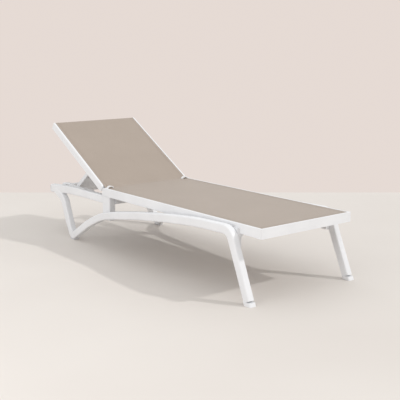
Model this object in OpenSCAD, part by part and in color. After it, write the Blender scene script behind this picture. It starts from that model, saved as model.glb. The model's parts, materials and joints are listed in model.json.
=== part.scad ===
// Reclining sun lounger: moulded resin side frames, a deck of channel rails,
// a hinged backrest and a panel prop that drops into notched racks.
// X runs from the head end (-) to the foot end (+), Y across, Z up, floor at Z = 0.

/* [Overall] */
// Length over the rear rail ends and the front rail
overall_len = 1950; // [1850:10:2350]
// Height of the deck's upper face
deck_h = 356; // [320:1:430]
// Width over the deck rails
deck_w = 597; // [520:1:720]
// Backrest angle above level, as drawn
back_angle = 30; // [4:1:60]
// Length of the backrest from its pivot
back_len = 662; // [560:1:720]

/* [Rails] */
// Width of a deck or backrest rail
rail_w = 34.5; // [30:0.5:44]
// Depth of a deck rail
rail_d = 47; // [40:1:56]
// Depth of a backrest rail
back_rail_d = 43; // [36:1:48]
// Wall of the open channel under a rail
rail_wall = 4.5; // [3:0.5:7]
// Width of the raised outer lip of a rail
lip_w = 11.7; // [8:0.1:14]
// Height of the lip above the sling seat
lip_h = 3; // [2:0.5:5]
// Width of the groove that holds a sling spline
groove_w = 6; // [5:0.5:8]
// Depth of the groove below the sling seat
groove_d = 6; // [5:0.5:8]

/* [Sling] */
// Thickness of the sling
sling_t = 1.6; // [1:0.1:3]
// Radius of a sling spline
spline_r = 2.6; // [2:0.1:3]

/* [Side frame] */
// Thickness of a side frame member across the lounger
frame_t = 37; // [30:1:44]
// Depth of the lower rail and the legs in side view
frame_d = 44; // [36:1:52]
// Rounding of the member's long edges
frame_round = 7; // [4:1:12]
// Radius of the bend at the front shoulder
shoulder_r = 62; // [50:1:90]
// Distance from the front leg's foot to the front of the lounger
front_foot_in = 33; // [20:1:80]
// Distance from the rear foot to the head end
rear_foot_in = 308; // [260:1:360]
// How far the middle of a front foot stands outside the deck's edge
front_splay = 34.5; // [26:0.5:44]
// How far the middle of a rear foot stands outside the deck's edge
rear_splay = 15.5; // [6:0.5:24]
// Depth of the upper rear rail
rear_rail_d = 46; // [38:1:52]
// Width of the post in side view
post_w = 74; // [60:1:84]
// Thickness of the post across the lounger
post_t = 40; // [30:1:44]

/* [Feet] */
// Height of a front shoe
shoe_h = 18; // [12:1:40]
// How far a front shoe stands out around the leg
shoe_lip = 1.2; // [0.8:0.1:4]
// Thickness of a rear pad under the foot
pad_t = 4; // [3:0.5:8]

/* [Hinge] */
// Depth of the hinge axis below the deck's upper face
hinge_drop = 22; // [20:1:26]
// Radius of a hinge pin
pin_r = 6; // [4:0.5:7.5]
// Running clearance of a pin in its bore
run_gap = 0.05; // [0.02:0.01:0.1]
// Thickness of a hinge lug
lug_t = 15; // [10:1:18]
// Radius of the round end of a hinge lug
lug_r = 16; // [12:0.5:17]
// Height of the corner clip's arch above the deck
clip_rise = 13; // [8:1:18]
// Reach of the corner clip over the sling
clip_reach = 44; // [30:1:60]

/* [Prop] */
// Distance from the hinge to the prop's pivot, along the backrest
prop_at = 235; // [215:1:250]
// Length of the prop between its pivot and the catch bar
prop_len = 262; // [255:1:275]
// Depth of the catch bar below the hinge axis
catch_drop = 44; // [42:1:48]
// Width of a prop strut across the lounger
strut_t = 16; // [10:1:20]
// Depth of a prop strut
strut_d = 22; // [18:1:26]
// Radius of the catch bar
bar_r = 7; // [5:0.5:8.5]
// Thickness of the prop's web
web_t = 3.8; // [2.5:0.1:3.9]
// Thickness of a rack
rack_t = 15; // [10:1:18]
// Number of notches, one for each backrest position
notch_n = 5; // [3:1:6]
// Depth of a notch below the running edge of its slot
notch_depth = 6; // [3:0.5:8]

/* [Hidden] */

white = [0.93, 0.93, 0.94];
taupe = [0.72, 0.66, 0.59];
dark_taupe = [0.55, 0.50, 0.45];
steel = [0.70, 0.71, 0.73];
light_grey = [0.80, 0.80, 0.81];

$fn = 48;
eps = 0.01;
corner_steps = 4;
slide_gap = 0.3;
joint_gap = 0.1;

// Places along the lounger
x_foot = overall_len / 2;
x_head = -overall_len / 2;
y_out = deck_w / 2;
y_in = y_out - rail_w;
seat_z = deck_h - lip_h;
y_sling = y_out - lip_w;
hinge_x = x_head + 633;
hinge_z = deck_h - hinge_drop;
rail_end_x = hinge_x - 15;
rail_corner_r = 18;
front_rail_x = x_foot - rail_w;
groove_y = y_sling - 8 - groove_w / 2;

// The side frame's centre line in side view: x, z, distance from mid-plane, depth, bend radius
y_front = y_out + front_splay;
y_rear = y_out + rear_splay;
y_top = y_out - frame_t / 2;
leg_rake = 0.429;
leg_x = x_foot - front_foot_in;
shoulder_z = deck_h - 29;
shoulder_x = leg_x - leg_rake * shoulder_z;
foot_x = x_head + rear_foot_in;
foot_bend_r = 28;
foot_z = pad_t + frame_d / 2 - 9.7;
rail_top_z = hinge_z - 22;
rear_rail_z = rail_top_z - rear_rail_d / 2;
rear_dip = 21;
rear_lean = y_rear - y_top;
function rise(share) = foot_z + share * (shoulder_z - foot_z);
lower_path = [
    [leg_x - leg_rake * shoe_h, shoe_h, y_front, frame_d - 3, 0],
    [shoulder_x, shoulder_z, y_front - 4, frame_d, shoulder_r],
    [x_foot - 415, rise(0.98), y_front - 6, frame_d, 1500],
    [x_foot - 645, rise(0.913), y_front - 8, frame_d, 3000],
    [x_head + 1035, rise(0.804), y_rear + 6, frame_d, 2500],
    [x_head + 785, rise(0.672), y_rear + 2.5, frame_d - 1, 1500],
    [x_head + 645, rise(0.578), y_rear + 0.5, frame_d - 2, 500],
    [x_head + 495, rise(0.363), y_rear, frame_d - 1, 700],
    [foot_x, foot_z, y_rear, frame_d - 2, foot_bend_r],
    [foot_x - 66, rise(0.27), y_rear - 0.34 * rear_lean, frame_d + 3, 300],
    [foot_x - 150, rise(0.675), y_top + 0.16 * rear_lean, frame_d + 4, 90],
    [x_head + 52, rear_rail_z - 24, y_top, frame_d - 4, 0]
];
post_foot_z = rise(0.51);
upper_path = [
    [x_head, rear_rail_z - rear_dip, y_top, rear_rail_d - 4, 0],
    [x_head + 3, rear_rail_z - rear_dip, y_top, rear_rail_d + 2, 0],
    [x_head + 10, rear_rail_z - rear_dip + 0.5, y_top, rear_rail_d + 5, 0],
    [x_head + 205, rear_rail_z - 4.5, y_top, rear_rail_d + 1, 1500],
    [x_head + 355, rear_rail_z, y_top, rear_rail_d, 1500],
    [rail_end_x + 6, rear_rail_z, y_top, rear_rail_d, 0]
];

// Deck
deck_under = deck_h - rail_d;
rail_mid_y = y_out - rail_w / 2;
channel_d = rail_d - lip_h - groove_d - rail_wall;
rib_pitch = 210;
front_round = 6;
front_groove_x = x_foot - lip_w - 8 - groove_w / 2;
lug_y0 = y_in - slide_gap - lug_t;
beam_x0 = hinge_x + 21;
beam_w = 42;
beam_half = y_out - post_t - joint_gap;
beam_upper_half = min(beam_half, y_in - joint_gap);
beam_under = hinge_z - 67;
flange_x0 = rail_end_x + 10;
flange_half = lug_y0 - 6;
flange_t = 13;
rear_groove_x = flange_x0 + 9;
head_half = y_top - frame_t / 2 - joint_gap;
head_beam_x = x_head + 22;
head_beam_w = 30;
head_beam_h = 34;
head_beam_z = rear_rail_z - rear_dip - 16;

// Feet
shoe_l = (frame_d - 3) * norm([1, leg_rake]) + 2 * shoe_lip;
shoe_w = frame_t + 2 * shoe_lip;
pad_l = 44;

// Fasteners
screw_r = 3;
screw_head_r = 5.5;
screw_head_h = 3;
screw_grip = 12;
screw_bite = 18;
bolt_r = 3;
bolt_head_r = 6;
bolt_head_h = 4;
bolt_grip = 6;
bolt_bite = 14;
small_r = 2.2;
small_head_r = 4.5;
small_head_h = 2.5;
small_bite = 12;
bracket_x = shoulder_x + 8;
bracket_l = 32;
bracket_h = 70;
bracket_y1 = y_front - 4.2 - frame_t / 2 - joint_gap;
bracket_bolt_z = [deck_under - 34, deck_under - 14];
beam_bolt_x = beam_x0 + 15;
beam_bolt_z = [beam_under + 12, beam_under + 30];

// Hinge and backrest
pin_y1 = y_in + 28;
clip_x0 = hinge_x + 13;
clip_l = 15;
clip_t = 5;
nose_at = 44;
nose_r = hinge_drop;
lug_l = 110;
lug_screw_x = [-lug_l + 14, -lug_l + 36];
cross_w = 34;
bottom_at = 30;
sling_start = 20;
top_groove_x = -back_len + 12;
bottom_groove_x = -bottom_at - 12;

// Prop and racks. The prop folds twice as fast as the backrest rises.
prop_pin_r = 5;
prop_pin_y1 = y_in + 21;
strut_gap = 2.9;
strut_y0 = head_half - rack_t - strut_gap - strut_t;
bar_half = head_half - 1.4;
panel_start = 120;
panel_past = 30;
panel_rib_end = bar_r + 6;
panel_gap = 0.2;
panel_ribs = 6;
back_step = 60;
prop_rest = asin((prop_at * sin(back_step / 2) + catch_drop) / prop_len);
function prop_turn(a) = prop_rest + a - back_step / 2;
function bar_x(a) = hinge_x - prop_at * cos(a) - prop_len * cos(prop_turn(a));
function bar_z(a) = hinge_z + prop_at * sin(a) - prop_len * sin(prop_turn(a));
prop_angle = prop_turn(back_angle);
bar_path_z = [for (a = [0 : 5 : back_step]) bar_z(a)];
notch_angles = [for (i = [0 : notch_n - 1]) back_step * i / (notch_n - 1)];
slot_z0 = min(bar_path_z) - bar_r - 0.5;
slot_z1 = max(bar_path_z) + bar_r + 1.5;
slot_x0 = bar_x(0) - bar_r - 1.5;
slot_x1 = bar_x(back_step) + bar_r + 1.5;
rack_x0 = slot_x0 - 44;
rack_x1 = slot_x1 + 30;
rack_z0 = slot_z0 - notch_depth - 8;
rack_z1 = slot_z1 + 5;
rack_round = 20;
rack_arch_x = slot_x0 + 36;
rack_arch_h = 7.5;
rack_arch_r = 330;
rack_y1 = head_half;
rack_screw_x = [rack_x0 + 14, rack_x1 - 14];
rack_screw_z = rear_rail_z;

// Points of an arc that rounds the corner b between a and c
function unit(v) = v / norm(v);
function way_to(a, b) = unit([b[0] - a[0], b[1] - a[1]]);
function eased(a, b, reach) =
    [for (k = [2, 3]) b[k] + (a[k] - b[k]) * reach / norm([b[0] - a[0], b[1] - a[1]])];
function bend_centre(a, b, c) =
    let (
        u = way_to(b, a),
        v = way_to(b, c)
    )
    [b[0], b[1]] + unit(u + v) * b[4] / sin(acos(u * v) / 2);
function bend(a, b, c, steps) =
    let (
        u = way_to(b, a),
        v = way_to(b, c),
        half = acos(u * v) / 2,
        reach = b[4] / tan(half),
        centre = bend_centre(a, b, c),
        p = [b[0], b[1]] + u * reach,
        q = [b[0], b[1]] + v * reach,
        turn = 180 - 2 * half,
        way = cross(p - centre, q - centre) > 0 ? 1 : -1,
        first = eased(a, b, reach),
        final = eased(c, b, reach)
    )
    [for (i = [0 : steps])
        let (t = way * turn * i / steps, d = p - centre)
        concat(
            centre + [d[0] * cos(t) - d[1] * sin(t), d[0] * sin(t) + d[1] * cos(t)],
            first + (final - first) * i / steps
        )];
function turn_of(a, b, c) = 180 - acos(way_to(b, a) * way_to(b, c));
function smooth_path(p) = concat(
    [[p[0][0], p[0][1], p[0][2], p[0][3]]],
    [for (i = [1 : len(p) - 2])
        each bend(p[i - 1], p[i], p[i + 1], max(2, ceil(turn_of(p[i - 1], p[i], p[i + 1]) / 5)))],
    [[p[len(p) - 1][0], p[len(p) - 1][1], p[len(p) - 1][2], p[len(p) - 1][3]]]
);
function heading(s, i) =
    let (a = s[max(i - 1, 0)], b = s[min(i + 1, len(s) - 1)])
    atan2(b[1] - a[1], b[0] - a[0]);
foot_centre = bend_centre(lower_path[7], lower_path[8], lower_path[9]);
foot_bend = bend(lower_path[7], lower_path[8], lower_path[9], 4);
foot_outer_r = foot_bend_r + max([for (station = foot_bend) station[3]]) / 2;

// Ring of points around a side frame member, square to its centre line
function ring_at(station, angle) =
    let (
        w = frame_t / 2 - frame_round,
        h = station[3] / 2 - frame_round
    )
    [for (c = [[1, 1, 0], [-1, 1, 90], [-1, -1, 180], [1, -1, 270]], k = [0 : corner_steps])
        let (
            t = c[2] + 90 * k / corner_steps,
            u = c[0] * w + frame_round * cos(t),
            v = c[1] * h + frame_round * sin(t)
        )
        [station[0] - v * sin(angle), station[2] + u, station[1] + v * cos(angle)]];

// Side frame member: rings joined along its centre line
module member(path) {
    s = smooth_path(path);
    n = 4 * (corner_steps + 1);
    last = len(s) - 1;
    polyhedron(
        points = [for (i = [0 : last]) each ring_at(s[i], heading(s, i))],
        faces = concat(
            [[for (k = [0 : n - 1]) k]],
            [for (i = [0 : last - 1], k = [0 : n - 1])
                each [
                    [i * n + k, (i + 1) * n + k, (i + 1) * n + (k + 1) % n],
                    [i * n + k, (i + 1) * n + (k + 1) % n, i * n + (k + 1) % n]
                ]],
            [[for (k = [n - 1 : -1 : 0]) last * n + k]]
        )
    );
}
module mirrored(side) {
    mirror([0, side < 0 ? 1 : 0, 0]) children();
}
module along_x(x0, x1) {
    translate([x0, 0, 0]) rotate([90, 0, 90]) linear_extrude(height = x1 - x0) children();
}
module cross_cylinder(x, z, r, y0, y1) {
    translate([x, y1, z]) rotate([90, 0, 0]) cylinder(r = r, h = y1 - y0);
}
module round_box(size, r) {
    hull()
        for (x = [r, size[0] - r], y = [r, size[1] - r])
            translate([x, y, 0]) cylinder(r = r, h = size[2], $fn = 32);
}

// Side frame: front leg, lower rail, rear foot, rear leg, upper rear rail and post
module side_frame(side) {
    color(white) mirrored(side) {
        difference() {
            union() {
                member(lower_path);
                member(upper_path);
                translate([rail_end_x, y_out - post_t, post_foot_z])
                    round_box([post_w, post_t - 0.5, deck_under - post_foot_z], 4);
            }
            translate([leg_x - 100, 0, -50]) cube([200, y_front + 60, 50 + shoe_h]);
            translate([rail_end_x - joint_gap, 0, deck_under]) cube([120, y_out + 1, rail_d]);
            for (z = bracket_bolt_z)
                cross_cylinder(bracket_x, z, bolt_r + run_gap, y_out, bracket_y1 + bolt_bite + 1);
            for (z = beam_bolt_z)
                cross_cylinder(beam_bolt_x, z, bolt_r + run_gap, y_in - 8, beam_half + bolt_bite + 1);
            for (x = rack_screw_x)
                cross_cylinder(x, rack_screw_z, small_r + run_gap, y_in - 4, rack_y1 + small_bite + 1);
        }
    }
}
module side_frame_left() { side_frame(-1); }
module side_frame_right() { side_frame(1); }

// Front shoe: a block that the leg's flat end stands on, raked with the leg
module front_shoe(side) {
    color(white) mirrored(side)
        hull()
            for (z = [0, shoe_h - 1])
                translate([leg_x - leg_rake * z - shoe_l / 2, y_front - shoe_w / 2, z])
                    round_box([shoe_l, shoe_w, 1], frame_round);
}
module front_shoe_left() { front_shoe(-1); }
module front_shoe_right() { front_shoe(1); }

// Rear pad: sits under the rounded rear foot
module rear_pad(side) {
    color(light_grey) mirrored(side)
        difference() {
            translate([foot_centre[0] - pad_l / 2, y_rear - frame_t / 2 + 2, 0])
                cube([pad_l, frame_t - 4, pad_t + 6]);
            cross_cylinder(foot_centre[0], foot_centre[1], foot_outer_r + 0.1,
                y_rear - frame_t, y_rear + frame_t);
        }
}
module rear_pad_left() { rear_pad(-1); }
module rear_pad_right() { rear_pad(1); }

// Cross-section of a rail on the +Y side: open channel below, and on top the lip,
// the sling seat and the spline groove. top is the lip's height.
module rail_profile(top, depth) {
    under = top - depth;
    seat = top - lip_h;
    difference() {
        polygon([
            [y_in + 2, under], [y_out - 2, under], [y_out, under + 2],
            [y_out, top - 3], [y_out - 3, top], [y_sling + slide_gap, top],
            [y_sling + slide_gap, seat], [y_in + 1, seat], [y_in, seat - 1], [y_in, under + 2]
        ]);
        translate([groove_y - groove_w / 2, seat - groove_d]) square([groove_w, groove_d + 1]);
        translate([y_in + rail_wall, under - 1])
            square([rail_w - 2 * rail_wall, depth - lip_h - groove_d - rail_wall + 1]);
    }
}
// What fills the channel where a rail is solid
module rail_fill(top, depth) {
    translate([y_in + rail_wall - 1, top - depth])
        square([rail_w - 2 * rail_wall + 2, depth - lip_h - groove_d - 1]);
}

// Seat rail: runs from the hinge to the front rail
module seat_rail(side) {
    color(white) mirrored(side)
        difference() {
            union() {
                along_x(rail_end_x, front_rail_x) rail_profile(deck_h, rail_d);
                along_x(rail_end_x, rail_end_x + post_w + 4) rail_fill(deck_h, rail_d);
                along_x(bracket_x - bracket_l / 2 - 6, bracket_x + bracket_l / 2 + 6)
                    rail_fill(deck_h, rail_d);
                along_x(front_rail_x - 8, front_rail_x) rail_fill(deck_h, rail_d);
                for (x = [rail_end_x + 280 : rib_pitch : bracket_x - 60])
                    along_x(x, x + rail_wall) rail_fill(deck_h, rail_d);
            }
            cross_cylinder(hinge_x, hinge_z, pin_r + run_gap, y_in - 1, pin_y1 + 1);
            difference() {
                translate([rail_end_x - 1, y_in - 1, deck_h - rail_corner_r])
                    cube([rail_corner_r + 1, rail_w + 2, rail_corner_r + 1]);
                cross_cylinder(rail_end_x + rail_corner_r, deck_h - rail_corner_r,
                    rail_corner_r, y_in - 2, y_out + 2);
            }
            translate([bracket_x, rail_mid_y, deck_under - 1])
                cylinder(r = screw_r + run_gap, h = screw_bite + 2);
        }
}
module seat_rail_left() { seat_rail(-1); }
module seat_rail_right() { seat_rail(1); }

// Front rail: full width, closes the deck at the foot end
module front_plan() {
    x0 = front_rail_x + joint_gap;
    translate([x0, -y_out]) square([x_foot - front_round - x0, deck_w]);
    translate([x0, -y_out + front_round]) square([x_foot - x0, deck_w - 2 * front_round]);
    for (y = [-y_out + front_round, y_out - front_round])
        translate([x_foot - front_round, y]) circle(r = front_round);
}
module front_rail() {
    color(white)
        difference() {
            translate([0, 0, deck_under]) linear_extrude(height = rail_d) front_plan();
            translate([front_rail_x - 1, -y_sling - slide_gap, seat_z])
                cube([rail_w - lip_w + 1 + slide_gap, 2 * (y_sling + slide_gap), lip_h + 1]);
            translate([front_groove_x - groove_w / 2, -y_in, seat_z - groove_d])
                cube([groove_w, 2 * y_in, groove_d + 1]);
            translate([front_rail_x + rail_wall, -y_out + rail_wall, deck_under - 1])
                cube([rail_w - 2 * rail_wall, deck_w - 2 * rail_wall, channel_d + 1]);
        }
}

// Hinge beam: channel between the posts, with a rear flange under the sling's end
module hinge_beam() {
    color(white)
        difference() {
            union() {
                translate([beam_x0, -beam_half, beam_under])
                    cube([beam_w, 2 * beam_half, deck_under - joint_gap - beam_under]);
                translate([beam_x0, -beam_upper_half, beam_under + 1])
                    cube([beam_w, 2 * beam_upper_half, seat_z - beam_under - 1]);
                translate([flange_x0, -flange_half, seat_z - flange_t])
                    cube([beam_x0 - flange_x0 + 1, 2 * flange_half, flange_t]);
            }
            translate([beam_x0 + rail_wall, rail_wall - beam_upper_half, beam_under - 1])
                cube([
                    beam_w - 2 * rail_wall, 2 * (beam_upper_half - rail_wall),
                    seat_z - beam_under - groove_d - rail_wall + 1
                ]);
            translate([rear_groove_x - groove_w / 2, -flange_half, seat_z - groove_d])
                cube([groove_w, 2 * flange_half, groove_d + 1]);
            for (s = [-1, 1], z = beam_bolt_z)
                cross_cylinder(beam_bolt_x, z, bolt_r + run_gap,
                    s * beam_half - rail_wall - 1, s * beam_half + rail_wall + 1);
        }
}

// Head beam: ties the two upper rear rails together at the head end
module head_beam() {
    color(white)
        difference() {
            translate([head_beam_x, -head_half, head_beam_z])
                cube([head_beam_w, 2 * head_half, head_beam_h]);
            translate([head_beam_x + rail_wall, -head_half + rail_wall, head_beam_z - 1])
                cube([
                    head_beam_w - 2 * rail_wall, 2 * (head_half - rail_wall),
                    head_beam_h - rail_wall + 1
                ]);
        }
}

// Seat sling: flat sheet on the rails, narrower at the hinge lugs
module seat_sling() {
    color(taupe)
        translate([0, 0, seat_z + slide_gap])
        linear_extrude(height = sling_t)
        polygon([
            [flange_x0, -flange_half], [beam_x0, -flange_half], [beam_x0, -y_sling],
            [x_foot - lip_w, -y_sling], [x_foot - lip_w, y_sling], [beam_x0, y_sling],
            [beam_x0, flange_half], [flange_x0, flange_half]
        ]);
}

// Splines: round rods that hold the sling's hems in the grooves
module spline_along(x0, x1, seat) {
    translate([x0, groove_y, seat - spline_r - 0.5])
        rotate([0, 90, 0])
        cylinder(r = spline_r, h = x1 - x0);
}
module spline_across(x, half, seat) {
    cross_cylinder(x, seat - spline_r - 0.5, spline_r, -half, half);
}
module seat_spline(side) {
    color(dark_taupe) mirrored(side) spline_along(beam_x0 + 2, front_rail_x - 4, seat_z);
}
module seat_spline_left() { seat_spline(-1); }
module seat_spline_right() { seat_spline(1); }
module seat_spline_front() { color(dark_taupe) spline_across(front_groove_x, y_in - 1, seat_z); }
module seat_spline_rear() { color(dark_taupe) spline_across(rear_groove_x, flange_half - 1, seat_z); }

// Shoulder bracket: web that carries the seat rail on the front leg
module shoulder_bracket(side) {
    color(white) mirrored(side)
        difference() {
            along_x(bracket_x - bracket_l / 2, bracket_x + bracket_l / 2)
                polygon([
                    [bracket_y1, deck_under - bracket_h], [bracket_y1, deck_under + 26],
                    [y_out + joint_gap, deck_under + 26], [y_out + joint_gap, deck_under],
                    [rail_mid_y - 8, deck_under], [rail_mid_y - 8, deck_under - 9],
                    [rail_mid_y + 4, deck_under - 20], [rail_mid_y + 4, deck_under - bracket_h + 4]
                ]);
            translate([bracket_x, rail_mid_y, deck_under - bracket_h - 1])
                cylinder(r = screw_r + run_gap, h = bracket_h + 28);
            translate([bracket_x, rail_mid_y, deck_under - bracket_h - 1])
                cylinder(r = screw_head_r + 1, h = bracket_h + 1 - screw_grip);
            for (z = bracket_bolt_z) {
                cross_cylinder(bracket_x, z, bolt_r + run_gap, y_in, y_front);
                cross_cylinder(bracket_x, z, bolt_head_r + 1, y_in, bracket_y1 - bolt_grip);
            }
        }
}
module shoulder_bracket_left() { shoulder_bracket(-1); }
module shoulder_bracket_right() { shoulder_bracket(1); }

// Rack: plate with a slot for the catch bar's end, and a notch for each backrest position
module rack_outline() {
    rack_l = rack_x1 - rack_x0;
    rack_h = rack_z1 - rack_z0;
    translate([rack_x0 + rack_round, rack_z0]) square([rack_l - 2 * rack_round, rack_h]);
    translate([rack_x0, rack_z0]) square([rack_l, rack_h - rack_round]);
    for (x = [rack_x0 + rack_round, rack_x1 - rack_round])
        translate([x, rack_z1 - rack_round]) circle(r = rack_round);
    intersection() {
        translate([rack_arch_x, rack_z1 + rack_arch_h - rack_arch_r]) circle(r = rack_arch_r);
        translate([rack_x0, rack_z1 - 2]) square([rack_l, rack_arch_h + 3]);
    }
}
module rack(side) {
    color(white) mirrored(side)
        translate([0, rack_y1, 0])
        rotate([90, 0, 0])
        linear_extrude(height = rack_t)
        difference() {
            rack_outline();
            translate([slot_x0, slot_z0]) square([slot_x1 - slot_x0, slot_z1 - slot_z0]);
            for (a = notch_angles)
                translate([bar_x(a), slot_z0 - notch_depth + bar_r + 0.4]) circle(r = bar_r + 0.4);
            for (x = rack_screw_x) translate([x, rack_screw_z]) circle(r = small_r + run_gap);
        }
}
module rack_left() { rack(-1); }
module rack_right() { rack(1); }

// Hinge pin: fixed in the seat rail, carries the backrest's lug
module hinge_pin(side) {
    color(steel) mirrored(side) {
        cross_cylinder(hinge_x, hinge_z, pin_r, lug_y0 - 2, pin_y1);
        cross_cylinder(hinge_x, hinge_z, pin_r + 3, lug_y0 - 4.5, lug_y0 - 1);
    }
}
module hinge_pin_left() { hinge_pin(-1); }
module hinge_pin_right() { hinge_pin(1); }

// Corner clip: pad on the rail's lip and an arch that reaches in over the sling's corner
module corner_clip(side) {
    half = clip_reach / 2;
    arch_r = (half * half + clip_rise * clip_rise) / (2 * clip_rise);
    mid_y = y_sling + 2 - half;
    color(white) mirrored(side) {
        translate([clip_x0 - 2, y_sling + 1, deck_h]) cube([clip_l + 4, lip_w - 4, 2.5]);
        along_x(clip_x0, clip_x0 + clip_l)
            intersection() {
                translate([mid_y, deck_h + clip_rise - arch_r])
                    difference() {
                        circle(r = arch_r);
                        circle(r = arch_r - clip_t);
                    }
                translate([mid_y - half - 4, deck_h]) square([clip_reach + 8, clip_rise + 2]);
            }
    }
}
module corner_clip_left() { corner_clip(-1); }
module corner_clip_right() { corner_clip(1); }

// Round-headed fastener along +Z with its head's underside at the origin
module fastener(r, head_r, head_h, length) {
    cylinder(r = r, h = length);
    translate([0, 0, -head_h]) cylinder(r = head_r, h = head_h + eps);
}
module fastener_out(x, y, z, r, head_r, head_h, length) {
    translate([x, y, z]) rotate([-90, 0, 0]) fastener(r, head_r, head_h, length);
}

// Deck screws: up through the shoulder brackets into the seat rails
module deck_screws() {
    color(steel)
        for (s = [-1, 1])
            mirrored(s)
                translate([bracket_x, rail_mid_y, deck_under - screw_grip])
                fastener(screw_r, screw_head_r, screw_head_h, screw_grip + screw_bite);
}
// Bracket bolts: out through the brackets and the hinge beam into the side frames
module bracket_bolts() {
    color(steel)
        for (s = [-1, 1])
            mirrored(s) {
                for (z = bracket_bolt_z)
                    fastener_out(bracket_x, bracket_y1 - bolt_grip, z, bolt_r, bolt_head_r, bolt_head_h,
                        bolt_grip + bolt_bite);
                for (z = beam_bolt_z)
                    fastener_out(beam_bolt_x, beam_half - rail_wall, z, bolt_r, bolt_head_r, bolt_head_h,
                        rail_wall + bolt_bite);
            }
}
// Rack screws: out through each end of a rack into the upper rear rail
module rack_screws() {
    color(steel)
        for (s = [-1, 1], x = rack_screw_x)
            mirrored(s)
                fastener_out(x, rack_y1 - rack_t, rack_screw_z, small_r, small_head_r, small_head_h,
                    rack_t + small_bite);
}

// Places a piece drawn on the hinge axis, lying flat, at the backrest's angle
module on_back() {
    translate([hinge_x, 0, hinge_z]) rotate([0, back_angle, 0]) children();
}

// Backrest rail: round nose at the hinge, flat end at the head
module back_rail(side) {
    color(white) on_back() mirrored(side)
        difference() {
            union() {
                along_x(-back_len, -nose_at) rail_profile(hinge_drop, back_rail_d);
                intersection() {
                    along_x(-nose_at - 2, -nose_at + nose_r + 1) {
                        rail_profile(hinge_drop, back_rail_d);
                        rail_fill(hinge_drop, back_rail_d);
                    }
                    cross_cylinder(-nose_at, hinge_drop - nose_r, nose_r, y_in - 1, y_out + 1);
                }
                along_x(-lug_l - 8, -nose_at - 1) rail_fill(hinge_drop, back_rail_d);
                along_x(-prop_at - 14, -prop_at + 14) rail_fill(hinge_drop, back_rail_d);
                along_x(-back_len, -back_len + 6) rail_fill(hinge_drop, back_rail_d);
                for (x = [-back_len + 110 : rib_pitch / 2 : -prop_at - 60])
                    along_x(x, x + rail_wall) rail_fill(hinge_drop, back_rail_d);
            }
            cross_cylinder(-prop_at, 0, prop_pin_r + run_gap, y_in - 1, prop_pin_y1 + 1);
            for (x = lug_screw_x)
                cross_cylinder(x, 0, small_r + run_gap, y_in - 1, y_in + small_bite + 1);
        }
}
module back_rail_left() { back_rail(-1); }
module back_rail_right() { back_rail(1); }

// Cross rails of the backrest: open channels between the side rails
module back_cross(x0, half, groove_x) {
    under = hinge_drop - back_rail_d + 3;
    difference() {
        translate([x0, -half, under]) cube([cross_w, 2 * half, hinge_drop - lip_h - under]);
        translate([x0 + rail_wall, -half + rail_wall, under - 1])
            cube([
                cross_w - 2 * rail_wall, 2 * (half - rail_wall),
                hinge_drop - lip_h - groove_d - rail_wall - under + 1
            ]);
        translate([groove_x - groove_w / 2, -half, hinge_drop - lip_h - groove_d])
            cube([groove_w, 2 * half, groove_d + 1]);
    }
}
module back_top_rail() {
    color(white) on_back() back_cross(-back_len, y_in - joint_gap, top_groove_x);
}
module back_bottom_rail() {
    color(white) on_back() back_cross(-bottom_at - cross_w, lug_y0 - 0.5, bottom_groove_x);
}

// Back sling: flat sheet from the hinge to the top of the backrest
module back_sling() {
    color(taupe) on_back()
        translate([-back_len + 1, -y_sling, hinge_drop - lip_h + slide_gap])
        cube([back_len - 1 - sling_start, 2 * y_sling, sling_t]);
}
module back_spline(side) {
    color(dark_taupe) on_back() mirrored(side)
        spline_along(-back_len + 10, -nose_at - 12, hinge_drop - lip_h);
}
module back_spline_left() { back_spline(-1); }
module back_spline_right() { back_spline(1); }
module back_spline_top() {
    color(dark_taupe) on_back() spline_across(top_groove_x, y_in - 1, hinge_drop - lip_h);
}
module back_spline_bottom() {
    color(dark_taupe) on_back() spline_across(bottom_groove_x, lug_y0 - 1.5, hinge_drop - lip_h);
}

// Hinge lug: turns on the hinge pin, screwed to the backrest rail's inner face
module hinge_lug(side) {
    color(white) on_back() mirrored(side)
        translate([0, y_in - joint_gap, 0]) rotate([90, 0, 0])
        linear_extrude(height = lug_t)
        difference() {
            union() {
                circle(r = lug_r);
                translate([-lug_l + 10, -10]) square([lug_l - 10, 20]);
                translate([-lug_l + 10, 0]) circle(r = 10);
            }
            circle(r = pin_r + run_gap);
            for (x = lug_screw_x) translate([x, 0]) circle(r = small_r + run_gap);
        }
}
module hinge_lug_left() { hinge_lug(-1); }
module hinge_lug_right() { hinge_lug(1); }
module lug_screws() {
    color(steel) on_back()
        for (s = [-1, 1], x = lug_screw_x)
            mirrored(s)
                fastener_out(x, lug_y0, 0, small_r, small_head_r, small_head_h, lug_t + small_bite);
}

// Prop pin: fixed in the backrest rail, carries a prop strut
module prop_pin(side) {
    color(steel) on_back() mirrored(side) {
        cross_cylinder(-prop_at, 0, prop_pin_r, strut_y0 - 1, prop_pin_y1);
        cross_cylinder(-prop_at, 0, prop_pin_r + 3, strut_y0 - 3.5, strut_y0 - 0.5);
    }
}
module prop_pin_left() { prop_pin(-1); }
module prop_pin_right() { prop_pin(1); }

// Places a piece drawn on the prop's pivot, lying flat towards the head, at the prop's angle
module on_prop() {
    translate([
        hinge_x - prop_at * cos(back_angle), 0, hinge_z + prop_at * sin(back_angle)
    ]) rotate([0, -prop_angle, 0]) children();
}

// Prop strut: bar with a bore at each end
module prop_strut(side) {
    color(white) on_prop() mirrored(side)
        translate([0, strut_y0 + strut_t, 0]) rotate([90, 0, 0])
        linear_extrude(height = strut_t)
        difference() {
            union() {
                circle(r = strut_d / 2);
                translate([-prop_len, -strut_d / 2]) square([prop_len, strut_d]);
                translate([-prop_len, 0]) circle(r = strut_d / 2);
            }
            circle(r = prop_pin_r + run_gap);
            translate([-prop_len, 0]) circle(r = bar_r + run_gap);
        }
}
module prop_strut_left() { prop_strut(-1); }
module prop_strut_right() { prop_strut(1); }

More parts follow.
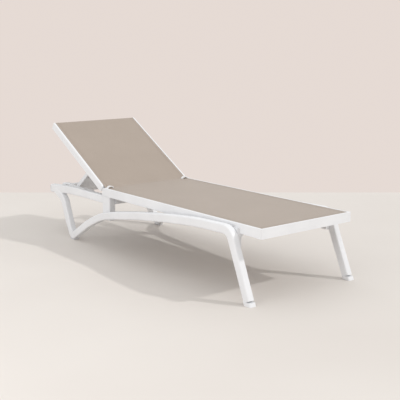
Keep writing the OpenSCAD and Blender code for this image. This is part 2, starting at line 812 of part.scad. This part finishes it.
// Prop panel: web between the struts that passes in front of the catch bar, with ribs behind it
module prop_panel() {
    half = strut_y0 - joint_gap;
    x_low = -prop_len - panel_past;
    x_rib = -prop_len + panel_rib_end;
    color(white) on_prop() translate([0, 0, -bar_r - panel_gap - web_t]) {
        translate([x_low, -half, 0]) cube([-panel_start - x_low, 2 * half, web_t]);
        for (x = [x_low, -panel_start - web_t])
            translate([x, -half, 0]) cube([web_t, 2 * half, strut_d - 2]);
        for (i = [0 : panel_ribs - 1])
            translate([x_rib, -half + i * (2 * half - web_t) / (panel_ribs - 1), 0])
                cube([-panel_start - x_rib, web_t, strut_d - 6]);
    }
}

// Catch bar: its ends run in the racks' slots
module catch_bar() {
    color(white) on_prop() cross_cylinder(-prop_len, 0, bar_r, -bar_half, bar_half);
}

side_frame_left();
side_frame_right();
front_shoe_left();
front_shoe_right();
rear_pad_left();
rear_pad_right();
seat_rail_left();
seat_rail_right();
front_rail();
hinge_beam();
head_beam();
seat_sling();
seat_spline_left();
seat_spline_right();
seat_spline_front();
seat_spline_rear();
shoulder_bracket_left();
shoulder_bracket_right();
rack_left();
rack_right();
hinge_pin_left();
hinge_pin_right();
corner_clip_left();
corner_clip_right();
deck_screws();
bracket_bolts();
rack_screws();
back_rail_left();
back_rail_right();
back_top_rail();
back_bottom_rail();
back_sling();
back_spline_left();
back_spline_right();
back_spline_top();
back_spline_bottom();
hinge_lug_left();
hinge_lug_right();
prop_pin_left();
prop_pin_right();
lug_screws();
prop_strut_left();
prop_strut_right();
prop_panel();
catch_bar();
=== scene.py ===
"""Reclining sun lounger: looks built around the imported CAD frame."""

import json
import math

import bmesh
import bpy
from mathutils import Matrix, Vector


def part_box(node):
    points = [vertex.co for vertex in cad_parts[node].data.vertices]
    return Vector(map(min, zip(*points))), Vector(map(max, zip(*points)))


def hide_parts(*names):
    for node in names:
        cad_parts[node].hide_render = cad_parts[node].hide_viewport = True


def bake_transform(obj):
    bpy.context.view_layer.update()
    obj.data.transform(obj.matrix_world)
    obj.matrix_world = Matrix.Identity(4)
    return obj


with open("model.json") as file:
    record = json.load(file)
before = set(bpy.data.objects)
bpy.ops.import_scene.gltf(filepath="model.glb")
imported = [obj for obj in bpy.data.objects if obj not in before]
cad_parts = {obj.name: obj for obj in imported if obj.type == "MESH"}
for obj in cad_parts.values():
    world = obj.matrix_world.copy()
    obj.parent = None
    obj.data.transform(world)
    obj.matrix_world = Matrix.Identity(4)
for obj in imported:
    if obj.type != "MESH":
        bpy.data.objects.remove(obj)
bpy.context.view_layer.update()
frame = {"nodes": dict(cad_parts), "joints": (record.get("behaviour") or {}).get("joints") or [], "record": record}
NODES = frame["nodes"]
RECORD = frame["record"]
SCENE = bpy.context.scene

# ------------------------------------------------------------------ camera
FOCAL_PX = 798.0
IMAGE_PX = 400.0
SENSOR_MM = 36.0
CAMERA_AT = Vector((3.4917, -2.6650, 1.1679))
CAMERA_YAW = math.radians(38.695)
CAMERA_PITCH = math.radians(11.1445)


def add_camera():
    data = bpy.data.cameras.new("camera")
    data.sensor_width = SENSOR_MM
    data.lens = SENSOR_MM * FOCAL_PX / IMAGE_PX
    camera = bpy.data.objects.new("camera", data)
    SCENE.collection.objects.link(camera)
    forward = Vector((
        -math.cos(CAMERA_YAW) * math.cos(CAMERA_PITCH),
        math.sin(CAMERA_YAW) * math.cos(CAMERA_PITCH),
        -math.sin(CAMERA_PITCH),
    ))
    camera.location = CAMERA_AT
    camera.rotation_mode = "QUATERNION"
    camera.rotation_quaternion = forward.to_track_quat("-Z", "Y")
    SCENE.camera = camera
    return forward


VIEW_WAY = add_camera()


# ------------------------------------------------------------------ materials
def new_material(name):
    material = bpy.data.materials.new(name)
    material.use_nodes = True
    tree = material.node_tree
    tree.nodes.clear()
    out = tree.nodes.new("ShaderNodeOutputMaterial")
    shader = tree.nodes.new("ShaderNodeBsdfPrincipled")
    tree.links.new(shader.outputs[0], out.inputs["Surface"])
    return material, tree, shader


def node(tree, kind, inputs=None, **settings):
    made = tree.nodes.new(kind)
    for key, value in settings.items():
        setattr(made, key, value)
    for key, value in (inputs or {}).items():
        if isinstance(value, bpy.types.NodeSocket):
            tree.links.new(value, made.inputs[key])
        else:
            made.inputs[key].default_value = value
    return made


def math_node(tree, operation, a, b=0.0):
    return node(tree, "ShaderNodeMath", {0: a, 1: b}, operation=operation).outputs[0]


def object_coordinates(tree):
    return node(tree, "ShaderNodeTexCoord").outputs["Object"]


def noise(tree, vector, scale, detail=3.0, roughness=0.5):
    made = node(tree, "ShaderNodeTexNoise", {
        "Vector": vector, "Scale": scale, "Detail": detail, "Roughness": roughness,
    })
    return made.outputs["Fac"]


def stretch(tree, vector, scale):
    return node(tree, "ShaderNodeMapping", {"Vector": vector, "Scale": scale}).outputs[0]


def mix_colour(tree, factor, a, b):
    made = tree.nodes.new("ShaderNodeMix")
    made.data_type = "RGBA"
    tree.links.new(factor, made.inputs[0])
    made.inputs[6].default_value = (*a, 1.0)
    made.inputs[7].default_value = (*b, 1.0)
    return made.outputs[2]


def span(tree, value, low, high, to_low, to_high):
    return node(tree, "ShaderNodeMapRange", {
        "Value": value, "From Min": low, "From Max": high, "To Min": to_low, "To Max": to_high,
    }).outputs[0]


def resin(name, colour, shade, rough):
    """Moulded resin: satin, with a fine grain and faint cloudiness."""
    material, tree, shader = new_material(name)
    at = object_coordinates(tree)
    cloud = noise(tree, at, 6.0, 4.0)
    tint = mix_colour(tree, span(tree, cloud, 0.35, 0.65, 0.0, 1.0), colour, shade)
    tree.links.new(tint, shader.inputs["Base Color"])
    grain = noise(tree, at, 900.0, 2.0)
    wide = noise(tree, at, 45.0, 3.0)
    tree.links.new(span(tree, wide, 0.3, 0.7, rough - 0.05, rough + 0.06), shader.inputs["Roughness"])
    fine = math_node(tree, "MULTIPLY", grain, 0.7)
    coarse = math_node(tree, "MULTIPLY", wide, 0.5)
    height = math_node(tree, "ADD", fine, coarse)
    bump = node(tree, "ShaderNodeBump", {"Strength": 0.10, "Distance": 0.0006, "Height": height})
    tree.links.new(bump.outputs[0], shader.inputs["Normal"])
    shader.inputs["IOR"].default_value = 1.49
    return material


def steel(name):
    material, tree, shader = new_material(name)
    at = object_coordinates(tree)
    lines = noise(tree, stretch(tree, at, (300.0, 20.0, 300.0)), 3.0, 4.0)
    tint = mix_colour(tree, lines, (0.50, 0.51, 0.52), (0.68, 0.69, 0.70))
    tree.links.new(tint, shader.inputs["Base Color"])
    tree.links.new(span(tree, lines, 0.3, 0.7, 0.24, 0.38), shader.inputs["Roughness"])
    bump = node(tree, "ShaderNodeBump", {"Strength": 0.15, "Distance": 0.0003, "Height": lines})
    tree.links.new(bump.outputs[0], shader.inputs["Normal"])
    shader.inputs["Metallic"].default_value = 1.0
    return material


def rubber(name):
    material, tree, shader = new_material(name)
    at = object_coordinates(tree)
    specks = noise(tree, at, 260.0, 4.0)
    tint = mix_colour(tree, specks, (0.56, 0.56, 0.57), (0.66, 0.66, 0.67))
    tree.links.new(tint, shader.inputs["Base Color"])
    tree.links.new(span(tree, specks, 0.3, 0.7, 0.62, 0.82), shader.inputs["Roughness"])
    bump = node(tree, "ShaderNodeBump", {"Strength": 0.3, "Distance": 0.0005, "Height": specks})
    tree.links.new(bump.outputs[0], shader.inputs["Normal"])
    return material


WEAVE_PITCH = 0.0016
HEM_AT = 0.022


def mesh_fabric(name, light, dark):
    """Coated basket weave. The UV map is the flat cloth in metres, from its middle line."""
    material, tree, shader = new_material(name)
    uv = node(tree, "ShaderNodeUVMap", uv_map="cloth").outputs[0]
    split = node(tree, "ShaderNodeSeparateXYZ", {"Vector": uv})
    along, across = split.outputs[0], split.outputs[1]
    turn = 2 * math.pi / WEAVE_PITCH
    warp = math_node(tree, "SINE", math_node(tree, "MULTIPLY", across, turn))
    weft = math_node(tree, "SINE", math_node(tree, "MULTIPLY", along, turn))
    cross = math_node(tree, "MULTIPLY", warp, weft)
    weave = span(tree, cross, -1.0, 1.0, 0.0, 1.0)
    slub = noise(tree, stretch(tree, uv, (12.0, 260.0, 1.0)), 1.0, 3.0)
    rib = noise(tree, stretch(tree, uv, (320.0, 9.0, 1.0)), 1.0, 2.0)
    cloud = noise(tree, uv, 5.0, 3.0)
    tone = math_node(tree, "MULTIPLY", weave, 0.45)
    for part, share in ((slub, 0.30), (rib, 0.15), (cloud, 0.25)):
        tone = math_node(tree, "ADD", tone, math_node(tree, "MULTIPLY", part, share))
    tint = mix_colour(tree, span(tree, tone, 0.25, 0.90, 0.0, 1.0), dark, light)
    tree.links.new(tint, shader.inputs["Base Color"])
    tree.links.new(span(tree, weave, 0.0, 1.0, 0.72, 0.55), shader.inputs["Roughness"])
    height = math_node(tree, "ADD", weave, math_node(tree, "MULTIPLY", slub, 0.6))
    bump = node(tree, "ShaderNodeBump", {"Strength": 0.35, "Distance": 0.0004, "Height": height})
    tree.links.new(bump.outputs[0], shader.inputs["Normal"])
    shader.inputs["Sheen Weight"].default_value = 0.15
    shader.inputs["Sheen Roughness"].default_value = 0.4
    return material


WHITE = resin("resin_white", (0.82, 0.825, 0.84), (0.78, 0.785, 0.80), 0.36)
TAUPE = mesh_fabric("sling_taupe", (0.418, 0.348, 0.293), (0.322, 0.266, 0.220))
THREAD = resin("thread_taupe", (0.40, 0.345, 0.295), (0.34, 0.29, 0.245), 0.6)
SPLINE = resin("spline_taupe", (0.30, 0.25, 0.20), (0.26, 0.22, 0.18), 0.45)
STEEL = steel("fastener_steel")
FEET = rubber("foot_grey")
BY_SLOT = {"resin": WHITE, "sling": TAUPE, "spline": SPLINE, "steel": STEEL, "feet": FEET}


def dress_cad_nodes():
    """Every CAD node gets its slot's material, smooth faces and softened edges."""
    slots = {row["node"]: row["material_slot"] for row in RECORD["subparts"]}
    for name, obj in NODES.items():
        obj.data.materials.clear()
        obj.data.materials.append(BY_SLOT[slots[name]])
        for polygon in obj.data.polygons:
            polygon.use_smooth = True
            polygon.material_index = 0
        weld = obj.modifiers.new("weld", "WELD")
        weld.merge_threshold = 0.00002
        soften = obj.modifiers.new("soften", "BEVEL")
        soften.width = 0.0012
        soften.segments = 2
        soften.limit_method = "ANGLE"
        soften.angle_limit = math.radians(35)
        soften.use_clamp_overlap = True
        soften.harden_normals = False
        normals = obj.modifiers.new("normals", "WEIGHTED_NORMAL")
        normals.keep_sharp = False
        normals.weight = 60


dress_cad_nodes()


# ------------------------------------------------------------------ sling
def corner(node_name, high):
    return Vector(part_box(node_name)[1 if high else 0])


JOINTS = {joint["name"]: joint for joint in frame["joints"]}
HINGE = Vector(JOINTS["recline"]["pos_m"])
BACK_ANGLE = math.radians(30.0)
RAIL_UNDER = 0.021
CLOTH_T = 0.0016
CLOTH_STEP = 0.012
FINE_STEP = 0.003
FINE_ZONE = 0.050
DECK_TOP = corner("seat_sling", True).z
HALF_WIDTH = corner("seat_sling", True).y
FRONT_EDGE = corner("seat_sling", True).x
BACK_ALONG = Vector((-math.cos(BACK_ANGLE), 0.0, math.sin(BACK_ANGLE)))
BACK_OUT = Vector((math.sin(BACK_ANGLE), 0.0, math.cos(BACK_ANGLE)))
CLOTH_ABOVE = DECK_TOP - CLOTH_T / 2 - HINGE.z
BACK_REACH = HINGE.x - corner("back_rail_left", False).x - RAIL_UNDER * math.sin(BACK_ANGLE)
BACK_LENGTH = BACK_REACH / math.cos(BACK_ANGLE)
CREASE_X = HINGE.x + CLOTH_ABOVE * math.tan(BACK_ANGLE / 2)
CREASE_R = 0.045
WRAP_R = 0.0035
WRAP_OUT = 0.0018
WRAP_DROP = 0.026
HEM_RISE = 0.0005
PULL_RISE = 0.0012
PULL_PITCH = 0.060


def on_back(along, above):
    """A point of the backrest at rest: distance from the hinge, and height over the hinge's plane."""
    return HINGE + BACK_ALONG * along + BACK_OUT * above


def cloth_path():
    """Points down the middle of the cloth, from the foot end over the crease and the top rail."""
    seat_z = HINGE.z + CLOTH_ABOVE
    reach = CREASE_R * math.tan(BACK_ANGLE / 2)
    points = []
    x = FRONT_EDGE
    while x > CREASE_X + reach + FINE_STEP:
        points.append(Vector((x, 0.0, seat_z)))
        x -= CLOTH_STEP if x > CREASE_X + FINE_ZONE else FINE_STEP
    centre = Vector((CREASE_X + reach, 0.0, seat_z + CREASE_R))
    for i in range(9):
        t = BACK_ANGLE * i / 8
        points.append(centre + CREASE_R * Vector((-math.sin(t), 0.0, -math.cos(t))))
    along = CLOTH_ABOVE * math.tan(BACK_ANGLE / 2) + reach + FINE_STEP
    bend_along = BACK_LENGTH + WRAP_OUT - WRAP_R
    while along < bend_along - CLOTH_STEP / 3:
        points.append(on_back(along, CLOTH_ABOVE))
        along += CLOTH_STEP if along > FINE_ZONE else FINE_STEP
    for i in range(7):
        t = math.pi / 2 * i / 6
        points.append(on_back(bend_along + WRAP_R * math.sin(t), CLOTH_ABOVE - WRAP_R + WRAP_R * math.cos(t)))
    for i in range(1, 5):
        points.append(on_back(BACK_LENGTH + WRAP_OUT, CLOTH_ABOVE - WRAP_R - WRAP_DROP * i / 4))
    return points


def cloth_widths():
    """Where the cloth is cut across: close together near the hems."""
    inner = [HALF_WIDTH - 0.0005, HALF_WIDTH - 0.004, HALF_WIDTH - HEM_AT, HALF_WIDTH - HEM_AT - 0.0015]
    count = 44
    edge = inner[-1]
    middle = [edge * (1 - 2 * i / count) for i in range(1, count)]
    return inner + middle + [-y for y in reversed(inner)]


PATH = cloth_path()
LENGTHS = [0.0]
for first, second in zip(PATH, PATH[1:]):
    LENGTHS.append(LENGTHS[-1] + (second - first).length)
CREASE_AT = FRONT_EDGE - CREASE_X


def way_at(i):
    """Direction of the cloth's path at its point i."""
    return (PATH[min(i + 1, len(PATH) - 1)] - PATH[max(i - 1, 0)]).normalized()


def on_cloth(length, y, above=0.0):
    """A point on the cloth, with the path's direction and the cloth's outward normal there."""
    i = 0
    while i < len(LENGTHS) - 2 and LENGTHS[i + 1] < length:
        i += 1
    share = (length - LENGTHS[i]) / (LENGTHS[i + 1] - LENGTHS[i])
    way = (way_at(i) * (1 - share) + way_at(i + 1) * share).normalized()
    out = Vector((way.z, 0.0, -way.x))
    place = PATH[i].lerp(PATH[i + 1], share) + Vector((0.0, y, 0.0))
    return place + out * (sling_lift(length, y) + above), way, out


def new_piece(name, bm, material):
    bmesh.ops.recalc_face_normals(bm, faces=bm.faces)
    mesh = bpy.data.meshes.new(name)
    bm.to_mesh(mesh)
    bm.free()
    mesh.materials.append(material)
    obj = bpy.data.objects.new(name, mesh)
    SCENE.collection.objects.link(obj)
    return obj


def add_sling():
    bm = bmesh.new()
    layer = bm.loops.layers.uv.new("cloth")
    grid = []
    for length in LENGTHS:
        grid.append([(bm.verts.new(on_cloth(length, y)[0]), (length, y)) for y in cloth_widths()])
    for a, b in zip(grid, grid[1:]):
        for j in range(len(a) - 1):
            quad = [a[j], a[j + 1], b[j + 1], b[j]]
            face = bm.faces.new([corner_point[0] for corner_point in quad])
            face.smooth = True
            for loop, corner_point in zip(face.loops, quad):
                loop[layer].uv = corner_point[1]
    obj = new_piece("sling", bm, TAUPE)
    thick = obj.modifiers.new("thickness", "SOLIDIFY")
    thick.thickness = CLOTH_T
    thick.offset = 0.0
    bpy.context.view_layer.objects.active = obj
    with bpy.context.temp_override(object=obj, active_object=obj, selected_objects=[obj]):
        bpy.ops.object.modifier_apply(modifier="thickness")
    return obj


STITCH = 0.0042
STITCH_PITCH = 0.0055
THREAD_R = 0.00045


def add_stitch(bm, place, way, out):
    """One stitch: a six-sided bead that is thickest in its middle."""
    side = way.cross(out)
    rings = []
    for share, swell in ((-0.5, 0.35), (-0.2, 1.0), (0.2, 1.0), (0.5, 0.35)):
        middle = place + way * (STITCH * share)
        rings.append([
            bm.verts.new(middle + (out * math.cos(t) + side * math.sin(t)) * THREAD_R * swell)
            for t in (2 * math.pi * k / 6 for k in range(6))
        ])
    for a, b in zip(rings, rings[1:]):
        for k in range(6):
            bm.faces.new([a[k], a[(k + 1) % 6], b[(k + 1) % 6], b[k]]).smooth = True
    bm.faces.new(rings[0])
    bm.faces.new(rings[-1])


def add_stitching():
    """Lock stitches down both side hems and across the two end hems."""
    bm = bmesh.new()
    lay = CLOTH_T / 2 + THREAD_R * 0.3
    edge = HALF_WIDTH - HEM_AT + 0.003
    end_hems = (HEM_AT - 0.003, LENGTHS[-1] - 0.006)
    count = int((end_hems[1] - end_hems[0]) / STITCH_PITCH)
    for y in (edge, -edge):
        for i in range(count):
            place, way, out = on_cloth(end_hems[0] + (i + 0.5) * STITCH_PITCH, y, lay)
            add_stitch(bm, place, way, out)
    count = int(2 * edge / STITCH_PITCH)
    for length in end_hems:
        for i in range(count):
            place, way, out = on_cloth(length, edge - (i + 0.5) * STITCH_PITCH, lay)
            add_stitch(bm, place, Vector((0.0, 1.0, 0.0)), out)
    return new_piece("sling_stitching", bm, THREAD)


def bell(value, width):
    return math.exp(-(value / width) ** 2)


def sling_lift(length, y):
    """Rise of the cloth: its double hems, and the pulls that run from the hinge corners."""
    edge = HALF_WIDTH - abs(y)
    end = min(length, LENGTHS[-1] - length)
    hem = HEM_RISE if min(edge, end) < HEM_AT else 0.0
    near = length - CREASE_AT
    wave = math.sin((length - 0.55 * abs(y)) * 2 * math.pi / PULL_PITCH)
    return hem + PULL_RISE * wave * bell(near, 0.075) * bell(edge - 0.09, 0.075)


sling = add_sling()
stitching = add_stitching()
for piece in (sling, stitching):
    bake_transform(piece)
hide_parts("seat_sling", "back_sling")


# ------------------------------------------------------------------ stage and light
def stage_material(name, light, dark, scale):
    material, tree, shader = new_material(name)
    at = object_coordinates(tree)
    cloud = noise(tree, at, scale, 3.0, 0.45)
    tint = mix_colour(tree, span(tree, cloud, 0.3, 0.7, 0.0, 1.0), light, dark)
    tree.links.new(tint, shader.inputs["Base Color"])
    shader.inputs["Roughness"].default_value = 0.85
    return material


FLOOR_END = 6.24
FLOOR_REACH = 30.0


def add_floor():
    """Pale floor that ends behind the lounger, so that the backdrop colour starts there."""
    level = Vector((VIEW_WAY.x, VIEW_WAY.y, 0.0)).normalized()
    side = Vector((-level.y, level.x, 0.0))
    far = Vector((CAMERA_AT.x, CAMERA_AT.y, 0.0)) + level * FLOOR_END
    near = far - level * FLOOR_REACH
    corners = [
        near - side * FLOOR_REACH, near + side * FLOOR_REACH,
        far + side * FLOOR_REACH, far - side * FLOOR_REACH,
    ]
    mesh = bpy.data.meshes.new("floor")
    mesh.from_pydata([tuple(p) for p in corners], [], [(0, 1, 2, 3)])
    mesh.materials.append(stage_material("floor_plaster", (0.72, 0.68, 0.64), (0.685, 0.64, 0.60), 0.9))
    obj = bpy.data.objects.new("floor", mesh)
    SCENE.collection.objects.link(obj)


add_floor()

SUN_WAY = Vector((-0.565, -0.505, -0.652))
SUN_STRENGTH = 0.94
SUN_SPREAD = math.radians(2.6)
WORLD_STRENGTH = 0.91
FILL_AT = Vector((1.2, -3.6, 1.8))
FILL_SIZE = 3.0
FILL_POWER = 26.0
LOOKED_AT = Vector((0.0, 0.0, 0.3))
BACKDROP = (0.79, 0.705, 0.66, 1.0)


def add_area(name, at, size, power, colour):
    data = bpy.data.lights.new(name, "AREA")
    data.shape = "DISK"
    data.size = size
    data.energy = power
    data.color = colour
    obj = bpy.data.objects.new(name, data)
    obj.location = at
    obj.rotation_mode = "QUATERNION"
    obj.rotation_quaternion = (LOOKED_AT - at).to_track_quat("-Z", "Y")
    SCENE.collection.objects.link(obj)


def add_lights():
    """A near-white world lights the object, and camera rays see the backdrop colour instead."""
    world = bpy.data.worlds.new("world")
    world.use_nodes = True
    tree = world.node_tree
    light = tree.nodes["Background"]
    light.inputs[0].default_value = (1.0, 0.998, 0.996, 1.0)
    light.inputs[1].default_value = WORLD_STRENGTH
    backdrop = node(tree, "ShaderNodeBackground", {0: BACKDROP, 1: 1.0})
    seen = node(tree, "ShaderNodeLightPath").outputs["Is Camera Ray"]
    both = node(tree, "ShaderNodeMixShader", {0: seen, 1: light.outputs[0], 2: backdrop.outputs[0]})
    tree.links.new(both.outputs[0], tree.nodes["World Output"].inputs[0])
    SCENE.world = world
    sun = bpy.data.lights.new("key", "SUN")
    sun.energy = SUN_STRENGTH
    sun.angle = SUN_SPREAD
    sun.color = (1.0, 0.995, 0.985)
    key = bpy.data.objects.new("key", sun)
    key.rotation_mode = "QUATERNION"
    key.rotation_quaternion = SUN_WAY.to_track_quat("-Z", "Y")
    SCENE.collection.objects.link(key)
    add_area("fill", FILL_AT, FILL_SIZE, FILL_POWER, (1.0, 1.0, 1.0))


add_lights()
SCENE.view_settings.view_transform = "Standard"
